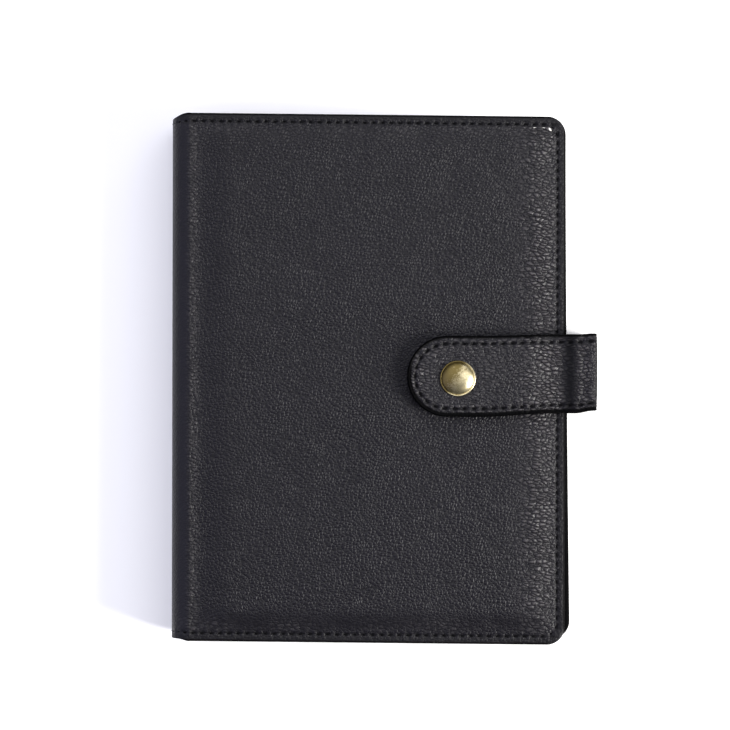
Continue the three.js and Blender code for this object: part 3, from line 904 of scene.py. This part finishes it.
def makeSpineStitches(name, place, bodies, nodes, setup, ends, up):
    lines = []
    for side in (1, -1):
        v = side * (halfHeight - setup["stitch"])
        stations = spread(0.0, -creaseLength - spineHalfLength, 0.8)
        path = [place(u, v, setup["stitch"], 0.0) for u in stations]
        turns = [min(-u, creaseLength) / creaseRadius for u in stations]
        normals = [Vector((-math.sin(t), 0, math.cos(t) * up)) for t in turns]
        lines.append((path, normals))
        under = [tuple(Vector(p) - n * (1 + setup["liningLip"])) for p, n in zip(path, normals)]
        lines.append((under, [-n for n in normals]))
    piece = makeMesh(name, *stitchMesh(lines, setup["pitch"], stitchSetup), threadBlack, "thread", nodes)
    blendBetween(piece, *bodies, *ends)


for side, place, up in (("front", frontPlace, 1), ("back", backPlace, -1)):
    body = side + "_cover"
    makeCover(side + "CoverSkin", place, body, body + "_leather", coverSetup)
    upward = Vector((0, 0, up))
    makeCoverStitches(side + "CoverStitches", place, body, body + "_stitching", coverSetup, upward)
creaseFront = ((spineX, hemTop - creaseRadius), (frontLow[0], hemTop))
creaseBack = ((frontLow[0], topLevel - hemTop), (spineX, topLevel - hemTop + creaseRadius))
frontPair, backPair = ("spine", "front_cover"), ("back_cover", "spine")
frontNodes, backNodes = ("front_crease_leather", "spine_leather"), ("back_crease_leather",)
makeSpineHalf("spineFrontSkin", spinePlace, frontPair, frontNodes, coverSetup, creaseFront)
makeSpineHalf("spineBackSkin", spineLowerPlace, backPair, backNodes, coverSetup, creaseBack)
topThread, bottomThread = ("spine_stitching_top",), ("spine_stitching_bottom",)
makeSpineStitches("spineFrontStitches", spinePlace, frontPair, topThread, coverSetup, creaseFront, 1)
makeSpineStitches("spineBackStitches", spineLowerPlace, backPair, bottomThread, coverSetup, creaseBack, -1)
print("covers and spine made")


# Strap

strapSetup = {
    "stitch": 3.5,
    "pitch": 4.2,
    "rounding": 1.25,
    "step": 0.84,
    "groove": 0.14,
    "hole": 0.55,
    "pucker": 0.24,
    "sharp": 0.55,
    "dip": 2.3,
    "dipStart": 75.5,
    "dipEnd": 62.5,
    "lift": 1.7,
    "liftStart": 76.6,
    "liftEnd": 84.0,
    "snapHollow": 0.3,
    # the strength of the painted shade in the stitch holes
    "holeShadeStrength": 0.9,
    "firstShare": 0.58,
    "taperStart": 42.0,
    "taperEnd": 74.0,
    "lastStart": 83.0,
    "settleStart": 86.5,
    "tipWiden": 0.92,
    "tipLonger": 0.5,
    "lower": 0.5,
    "foldWiden": 0.5,
    "shoulder": 0.7,
    "riserShare": 0.6,
}
strapWear = {  # amount, place and width of each wrinkled or calm patch, and of the painted shade in the trough
    "coarse": (1.9, 67.5, 10.0),
    "tip": (0.95, 5, 9),
    "end": (0.95, 86.6, 3.4),
    "rim": (0.75, 3.6, 2.6),
    "troughShade": (0.55, 80.6, 2.7),
    "calm": (0.75, 79.8, 3.6),
}
strapThickness = tabHigh[2] - tabInnerLow[2]
foldRadius = foldHigh[0] - foldLow[0]
foldX = foldLow[0]
foldZ = foldLow[2]
lowFoldLow, lowFoldHigh = boxOf("strap_fold_lower")
riserMiddle = (riserLow[2] + riserHigh[2]) / 2
tipHalf = snapY - tabLow[1] + strapSetup["tipWiden"]
tipX = tabLow[0] - strapSetup["tipLonger"]
tipY = tabLow[1] + tipHalf - strapSetup["lower"]
foldHalf = (foldHigh[1] - foldLow[1]) / 2 + strapSetup["foldWiden"]
foldY = (foldHigh[1] + foldLow[1]) / 2 - strapSetup["lower"]
riserPart = foldZ - riserMiddle
arcPart = foldRadius * math.pi / 2
tabPart = foldX - tipX


def foldSpot(turn, centreX, centreZ, sharp):  # a tight fold; turn goes from level to upright
    nx, nz = math.cos(turn), math.sin(turn)
    return centreX + foldRadius * max(0, nx) ** sharp, centreZ + foldRadius * max(0, nz) ** sharp, nx, nz


def strapShare(x):  # from none at the round tip to all at the fold, where the strap is narrower
    first, start, late = strapSetup["firstShare"], strapSetup["taperStart"], strapSetup["lastStart"]
    taper = first * ease((x - start) / (strapSetup["taperEnd"] - start))
    return taper + (1 - first) * ease((x - late) / (foldX + 1.0 - late))


def strapWave(x, setup):  # the tab sinks past the cover's edge and comes up again before the fold
    sink = ease((x - setup["dipEnd"]) / (setup["dipStart"] - setup["dipEnd"]))
    rise = ease((x - setup["liftStart"]) / (setup["liftEnd"] - setup["liftStart"]))
    settle = (setup["dip"] - setup["lift"]) * ease((x - setup["settleStart"]) / 3.0)
    return -setup["dip"] * sink + setup["lift"] * rise + settle


def strapRun(u, v, setup):  # how far round the stitched line a place on the upper strap lies, in stitches
    radius = tipHalf - setup["stitch"]
    side = strapReach - tipHalf
    full = 2 * side + math.pi * radius
    pitch = full / round(full / setup["pitch"])
    if u <= side:
        return u / pitch
    return (side + radius * math.atan2(u - side, max(1e-6, abs(v)))) / pitch


def strapRelief(u, v, inset, x, run, setup):
    shoulder = -setup["shoulder"] * ease((2.5 - inset) / 2.2)
    hollow = -setup["snapHollow"] * bell(math.hypot(x - snapX, v - (snapY - tipY)), 8.1, 0.9)
    soft = 0.12 * wander(u, v, 0.11, 21.0) - 0.06
    return stitchHole(inset, run, setup) + shoulder + hollow + soft


def strapPlace(u, v, inset, depth):  # u runs from the middle of the riser over the fold to the tip
    setup = strapSetup
    if u <= riserPart:
        x, z, nx, nz = foldX + foldRadius, riserMiddle + u, 1.0, 0.0
    elif u <= riserPart + arcPart:
        x, z, nx, nz = foldSpot((u - riserPart) / foldRadius, foldX, foldZ, setup["sharp"])
    else:
        x, z, nx, nz = foldX - (u - riserPart - arcPart), foldZ + foldRadius, 0.0, 1.0
    share = strapShare(x)
    y = tipY + (foldY - tipY) * share + v * (1 + (foldHalf / tipHalf - 1) * share)
    out = -depth
    if depth == 0.0:
        relief = min(0.0, strapRelief(u, v, inset, x, strapRun(u, v, setup), setup))
        out += relief * (1 if nx < 0.5 else setup["riserShare"])
    if x < foldX and nz > 0.9:
        z += strapWave(x, setup)
    return (x + nx * out, y, z + nz * out)


def lowStrapPlace(u, v, inset, depth):  # u runs from the back cover's hem round the lower fold, up the riser
    level = foldX - rootStart
    if u <= level:
        x, z, nx, nz = rootStart + u, lowFoldLow[2], 0.0, -1.0
    elif u <= level + arcPart:
        turn = math.pi / 2 - (u - level) / foldRadius
        x, z, nx, nz = foldSpot(turn, foldX, 0.0, strapSetup["sharp"])
        z, nz = lowFoldHigh[2] - z, -nz
    else:
        x, z, nx, nz = foldX + foldRadius, lowFoldHigh[2] + u - level - arcPart, 1.0, 0.0
    out = -depth
    if depth == 0.0:
        sewn = lowReach - rootThreadStart
        run = (u - rootThreadStart) * round(sewn / strapSetup["pitch"]) / sewn
        out += min(0.0, strapRelief(u, v, inset, x, run, strapSetup)) * strapSetup["riserShare"]
    return (x + nx * out, foldY + v, z + nz * out)


# wrinkled and calm patches, edge ink, and painted shade in the stitch holes, the trough, the lower wall and the
# fold's outer turn
def strapMarks(points):
    crumple, calm, inkAndShade = [], [], []
    for x, y, z in points:
        onTab = 1.0 if z > foldZ - 6 else 0.0
        share = strapShare(x)
        half = tipHalf + (foldHalf - tipHalf) * share
        across = y - tipY - (foldY - tipY) * share
        inset = half - abs(across)
        if onTab and x < tipX + tipHalf:
            inset = tipHalf - math.hypot(x - tipX - tipHalf, y - tipY)
        # edge ink on the strap's side wall, reaching further in on the lower side as painted shade
        inkAndShadeReach = 2.3 - 0.7 * ease((y - tipY) / 8) * onTab
        # painted shade across the trough where the strap dips past the cover's edge
        troughShade = patchOf(x, strapWear["troughShade"]) * onTab
        # painted shade on the outer face where the strap turns down round the fold
        turned = ease((x - foldX - foldRadius + 1.1) / 0.9) * ease(z - foldZ + 1.0)
        run = strapRun(riserPart + arcPart + foldX - x, across * tipHalf / half, strapSetup)
        # painted shade in the stitch holes
        hole = holeShade(inset, run, strapSetup) * onTab
        inkAndShade.append(max(ease((inkAndShadeReach - inset) / 0.9), troughShade, turned, hole))
        patch = 0.85 + 0.8 * wander(x, y, 0.11, 31.0)
        coarse = patchOf(x, strapWear["coarse"]) * patch
        tip = patchOf(x - tipX, strapWear["tip"]) * patch
        end, rim = patchOf(x, strapWear["end"]), patchOf(inset, strapWear["rim"])
        seam = 1 - 0.7 * bell(inset, strapSetup["stitch"], 0.9)
        folds = max(0.0, coarse, tip, end, rim, 0.34 * patch) * seam
        crumple.append(folds * onTab + 0.15 * (1 - onTab))
        calm.append(patchOf(x, strapWear["calm"]) * onTab)
    return {"crumple": crumple, "calm": calm, "inkAndShade": inkAndShade}


def strapLevels(setup):
    groove = setup["stitch"]
    levels = [(inset, strapThickness) for inset in spread(tipHalf, setup["rounding"] * 1.5, 1.9)]
    levels += edgeRound(strapThickness, setup["rounding"])
    tops = [1.6, 2.1, 2.6, 2.95, 3.25, groove, 3.75, 4.05, 4.5, 5.1]
    return levels + [(inset, 0.0) for inset in tops + spread(6.0, tipHalf, 0.95)]


def strapPanelPlace(u, v, inset, depth):
    return strapPlace(strapReach / 2 - u, v, inset, depth)


strapReach = riserPart + arcPart + tabPart
rootStart = rootLow[0] + 0.6
rootThreadStart = 7.5
lowReach = foldX - rootStart + arcPart + (riserMiddle - lowFoldHigh[2])
upperEnds = ((foldX + foldRadius, foldZ - 2.0), (foldX - 2.0, foldZ + foldRadius))
lowerEnds = ((foldX - 1.0, lowFoldLow[2]), (foldX + foldRadius, lowFoldHigh[2] + 1.0))


def makeStrap(setup):
    size = (strapReach, 2 * tipHalf)
    points, faces = panelGrid(strapLevels(setup), tipHalf, size, setup["step"], strapPanelPlace, False)
    nodes = ("strap_tab_outer", "strap_tab_inner", "strap_fold_upper")
    nodes += ("strap_riser_outer", "strap_riser_inner")
    piece = makeMesh("strapTab", points, faces, leather, "leather_outer", nodes, strapMarks(points), True)
    blendBetween(piece, "strap_riser", "strap_tab", *upperEnds)

    insets = [1.6, 2.2, 2.8, 3.15, 3.5, 3.85, 4.2, 5.0]
    loop = stripLoop(foldHalf, strapThickness, setup["rounding"], setup["step"], insets)
    stations = spread(0.0, lowReach, 0.8)
    points, faces = stripLoft(loop, stations, lowStrapPlace)
    nodes = ("strap_root_outer", "strap_root_inner", "strap_fold_lower")
    piece = makeMesh("strapRoot", points, faces, leather, "leather_outer", nodes, strapMarks(points))
    blendBetween(piece, "back_cover", "strap_riser", *lowerEnds)


def strapLines(place, spots):  # the stitched line on the outer face and on the inner one
    outer, inner, outward = [], [], []
    for spot in spots:
        inside = Vector(place(*spot, strapThickness))
        outer.append(place(*spot, 0.0))
        inner.append(tuple(inside))
        outward.append((Vector(place(*spot, strapThickness / 2)) - inside).normalized())
    flat = [spot[:2] for spot in spots]
    return [(outer, outward, flat), (inner, [-way for way in outward], flat)]


def makeStrapStitches(setup):
    size = (strapReach, 2 * tipHalf)
    contour = panelContour(setup["stitch"], tipHalf, tipHalf, size, 0.8)
    lines = strapLines(strapPanelPlace, [(u, v, setup["stitch"]) for u, v in contour])
    nodes = ("strap_tab_stitching", "strap_riser_stitching_top", "strap_riser_stitching_bottom")
    sewn = stitchMesh(lines, setup["pitch"], strapStitch)
    piece = makeMesh("strapTabStitches", *sewn, threadBlack, "thread", nodes)
    blendBetween(piece, "strap_riser", "strap_tab", *upperEnds)

    lines = []
    for side in (1, -1):
        v = side * (foldHalf - setup["stitch"])
        spots = [(u, v, setup["stitch"]) for u in spread(rootThreadStart, lowReach, 0.8)]
        lines += strapLines(lowStrapPlace, spots)
    sewn = stitchMesh(lines, setup["pitch"], strapStitch)
    piece = makeMesh("strapRootStitches", *sewn, threadBlack, "thread")
    blendBetween(piece, "back_cover", "strap_riser", *lowerEnds)


strapStitch = dict(stitchSetup, wide=1.05, high=0.34, share=0.60)
makeStrap(strapSetup)
makeStrapStitches(strapSetup)
print("strap made")


# Snap cap

capSetup = {
    "segments": 96,
    "drop": 0.5,
    "dome": 6.95,
    "rimCrest": 7.35,
    "edge": 7.75,
    "base": 0.5,
    "full": 2.6,
    "curve": 2.5,
    "roundness": 0.62,
    "shank": 2.2,
    "rings": 24,
}


def latheMesh(profile, centre, segments):  # profile of (radius, height), from the axis out
    points, faces = [], []
    for radius, height in profile:
        for n in range(segments):
            angle = 2 * math.pi * n / segments
            x, y = centre[0] + radius * math.cos(angle), centre[1] + radius * math.sin(angle)
            points.append((x, y, height))
    for k in range(len(profile) - 1):
        for n in range(segments):
            a, b = k * segments + n, k * segments + (n + 1) % segments
            faces.append((a, b, b + segments, a + segments))
    return points, faces


def makeCap(setup):
    z = tabHigh[2] + 0.02
    dome, crest, edge, shank = setup["dome"], setup["rimCrest"], setup["edge"], setup["shank"]
    profile = []
    for ring in range(setup["rings"] + 1):
        r = dome * math.sin(math.pi / 2 * ring / setup["rings"])
        share = max(0.0, 1 - (r / dome) ** setup["curve"]) ** setup["roundness"]
        profile.append((r, z + setup["base"] + (setup["full"] - setup["base"]) * share))
    rim = [(dome + 0.08, 0.36), (crest - 0.18, 0.44), (crest, 0.56), (crest + 0.2, 0.54)]
    rim += [(edge - 0.06, 0.38), (edge, 0.2), (edge - 0.05, -0.1), (edge - 0.5, -0.25)]
    profile += [(r, z + height) for r, height in rim]
    profile += [(shank, z - 0.25), (shank, capLow[2] + 0.1), (0.0, capLow[2] + 0.1)]
    points, faces = latheMesh(profile, (snapX, snapY - setup["drop"]), setup["segments"])
    piece = makeMesh("snapCapDome", points, faces, brass, "antique_brass", ("snap_cap",), None, True)
    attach(piece, "strap_tab")


makeCap(capSetup)
print("snap cap made")


# Linings and pockets

pocketSetup = {
    "corner": 2.0,
    "rounding": 0.28,
    "step": 2.6,
    "notch": 7.0,
    "notchWide": 9.0,
    "notchDeep": 26,
    "stitch": 1.7,
    "pitch": 3.2,
    "swell": 0.042,
}


def thinLevels(half, thickness, rounding, coarse):
    levels = [(inset, thickness) for inset in spread(half, rounding * 2.2, coarse * 1.4)]
    levels += edgeRound(thickness, rounding, 6)
    tops = [0.7, 1.1, 1.4, 1.7, 2.0, 2.4, 3.2]
    return levels + [(inset, 0.0) for inset in tops + spread(4.4, half, coarse)]


def makeThinPanel(name, node, body, facing, setup, pocket=False):  # a pocket is notched and stitched
    low, high = boxOf(node)
    size = (high[0] - low[0], high[1] - low[1])
    middle = ((low[0] + high[0]) / 2, (low[1] + high[1]) / 2)
    thickness = high[2] - low[2]
    face = high[2] if facing > 0 else low[2]
    seed = 3.0 + 7.0 * len(bpy.data.objects)  # another one for each panel

    def place(u, v, inset, depth):
        x, y = middle[0] + u, middle[1] + v
        out = -depth
        if depth == 0.0 and pocket:
            out -= 0.10 * bell(inset, setup["stitch"], 0.35)
        if "turnIn" in setup:  # the lining goes down over the board's edge beside the spine
            reach = setup["turnIn"] * 1.5
            down = ease((reach - size[0] / 2 - u) / reach)
            x -= setup["turnIn"] * down
            out -= setup["turnDown"] * down
        if pocket:
            dip = setup["notch"] * bell(u, 0.0, setup["notchWide"])
            y -= dip * ease((y - (high[1] - setup["notchDeep"])) / setup["notchDeep"])
        if depth == 0.0:
            out += setup["swell"] * (wander(x, y, 0.05, seed) - 0.5) * ease(inset / 8)
        return (x, y, face + facing * out)

    half = min(size) / 2
    levels = thinLevels(half, thickness, setup["rounding"], setup["step"])
    points, faces = panelGrid(levels, setup["corner"], size, setup["step"], place)
    piece = makeMesh(name, points, faces, liningLeather, "leather_lining", (node,), None, True)
    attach(piece, body)
    if not pocket:
        return
    out = Vector((0, 0, facing))
    stitch = setup["stitch"]
    halfU, halfV = size[0] / 2, size[1] / 2
    top = halfV - stitch
    side = [(-halfU + stitch, v) for v in spread(top, -halfV + stitch + 1, 2.0)]
    bottom = [(u, -halfV + stitch) for u in spread(-halfU + stitch, halfU - stitch, 2.0)]
    other = [(halfU - stitch, v) for v in spread(-halfV + stitch + 1, top, 2.0)]
    path = [place(u, v, stitch, 0.0) for u, v in side + bottom + other]
    thread = stitchMesh([(path, [out] * len(path))], setup["pitch"], fineStitch)
    piece = makeMesh(name + "Stitches", *thread, threadBlack, "thread")
    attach(piece, body)


fineStitch = dict(stitchSetup, wide=0.45, high=0.16, share=0.66, rings=5, sides=6)
plainLining = dict(pocketSetup, step=5.0, corner=3.0, turnIn=1.0, turnDown=2.0)
makeThinPanel("frontLining", "front_cover_lining", "front_cover", -1, plainLining)
makeThinPanel("backLining", "back_cover_lining", "back_cover", 1, plainLining)
for number in (1, 2, 3):
    makeThinPanel(f"cardPocket{number}", f"card_pocket_{number}", "front_cover", -1, pocketSetup, True)
makeThinPanel("slipPocket", "slip_pocket", "front_cover", -1, dict(pocketSetup, step=4.0), True)
makeThinPanel("notePocket", "note_pocket", "back_cover", 1, dict(pocketSetup, step=4.0), True)
print("linings and pockets made")


# Spine lining, an upright panel


def makeSpineLining(setup, over):  # it rolls over both sides of the board
    low, high = boxOf("spine_lining")
    size = (high[2] - low[2] + 2 * over, high[1] - low[1])
    thickness = high[0] - low[0]

    def place(u, v, _, depth):
        out = -depth
        if depth == 0.0:
            out += 0.05 * (wander(u, v, 0.08, 51.0) - 0.5)
        out -= 1.1 * ease((abs(u) - size[0] / 2 + over + 0.5) / (over + 0.3))
        return (high[0] + out, v, (low[2] + high[2]) / 2 + u)

    levels = thinLevels(size[0] / 2, thickness, setup["rounding"], 1.6)
    points, faces = panelGrid(levels, 1.2, size, 2.6, place)
    nodes = ("spine_lining",)
    piece = makeMesh("spineLining", points, faces, liningLeather, "leather_lining", nodes, None, True)
    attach(piece, "spine")


makeSpineLining(pocketSetup, 0.85)


# Pen loop: one strip of leather, its two ends laid together on the lining

penSetup = {"thickness": 0.72, "turns": 56, "wrap": 0.965, "step": 1.3, "stitch": 1.6, "pitch": 3.2}


def makePenLoop(setup):
    low, high = boxOf("pen_loop")
    radius = (high[2] - low[2]) / 2
    centreX, centreZ = high[0] - radius, (low[2] + high[2]) / 2
    middleY, half = (low[1] + high[1]) / 2, (high[1] - low[1]) / 2
    thickness = setup["thickness"]
    stations = [(x, low[2], 0.0, -1.0) for x in spread(low[0], centreX, 1.2)[:-1]]
    for n in range(setup["turns"] + 1):
        turn = -math.pi / 2 + 2 * math.pi * setup["wrap"] * n / setup["turns"]
        nx, nz = math.cos(turn), math.sin(turn)
        stations.append((centreX + radius * nx, centreZ + radius * nz, nx, nz))

    def place(station, v, inset, depth):
        x, z, nx, nz = station
        out = -depth - (0.12 * bell(inset, setup["stitch"], 0.4) if depth == 0.0 else 0.0)
        return (x + nx * out, middleY + v, z + nz * out)

    loop = stripLoop(half, thickness, 0.3, setup["step"], [0.6, 1.0, 1.3, 1.6, 1.9, 2.3])
    points, faces = stripLoft(loop, stations, place)
    marks = {"crumple": [0.12] * len(points), "calm": [0.3] * len(points)}
    piece = makeMesh("penLoop", points, faces, leather, "leather_outer", ("pen_loop",), marks)
    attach(piece, "back_cover")
    lines = []
    sewn = stations[-setup["turns"] :]
    normals = [Vector((nx, 0, nz)) for _, _, nx, nz in sewn]
    for v in (-half + setup["stitch"], half - setup["stitch"]):
        lines.append(([place(station, v, setup["stitch"], 0.0) for station in sewn], normals))
    thread = stitchMesh(lines, setup["pitch"], fineStitch)
    piece = makeMesh("penLoopStitches", *thread, threadBlack, "thread")
    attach(piece, "back_cover")


makePenLoop(penSetup)
print("pen loop made")


# Finishes and softened edges for the parts that stay as they are

softSteps, softAngle = 2, 50
keptFinishes = {  # a word in the node's name, its finish and the width of its softened edge
    "board": (greyboard, 0.15),
    "foam": (foamWhite, 0.2),
    "snap": (brassCad, 0.12),
    "ring": (plateSteelCad, 0.12),
    "rivet": (plateSteelCad, 0.15),
}


def finishKeptParts(finishes):
    for node in frame["nodes"]:
        part = bpy.data.objects.get(node)
        if part is None or part.hide_render:
            continue
        for word, (finish, bevel) in finishes.items():
            if word in node:
                part.data.materials.clear()
                part.data.materials.append(finish)
                soften = part.modifiers.new("softEdge", "BEVEL")
                soften.width = bevel * mm
                soften.segments = softSteps
                soften.limit_method = "ANGLE"
                soften.angle_limit = math.radians(softAngle)
                break
        else:
            print("no finish for", node)


finishKeptParts(keptFinishes)
print("kept parts finished")


# Floor


def makeFloor(half):
    mesh = bpy.data.meshes.new("floor")
    corners = [(-half, -half, 0), (half, -half, 0), (half, half, 0), (-half, half, 0)]
    mesh.from_pydata(corners, [], [(0, 1, 2, 3)])
    mesh.materials.append(studioPaper)
    floor = bpy.data.objects.new("floor", mesh)
    bpy.context.scene.collection.objects.link(floor)


makeFloor(6.0)
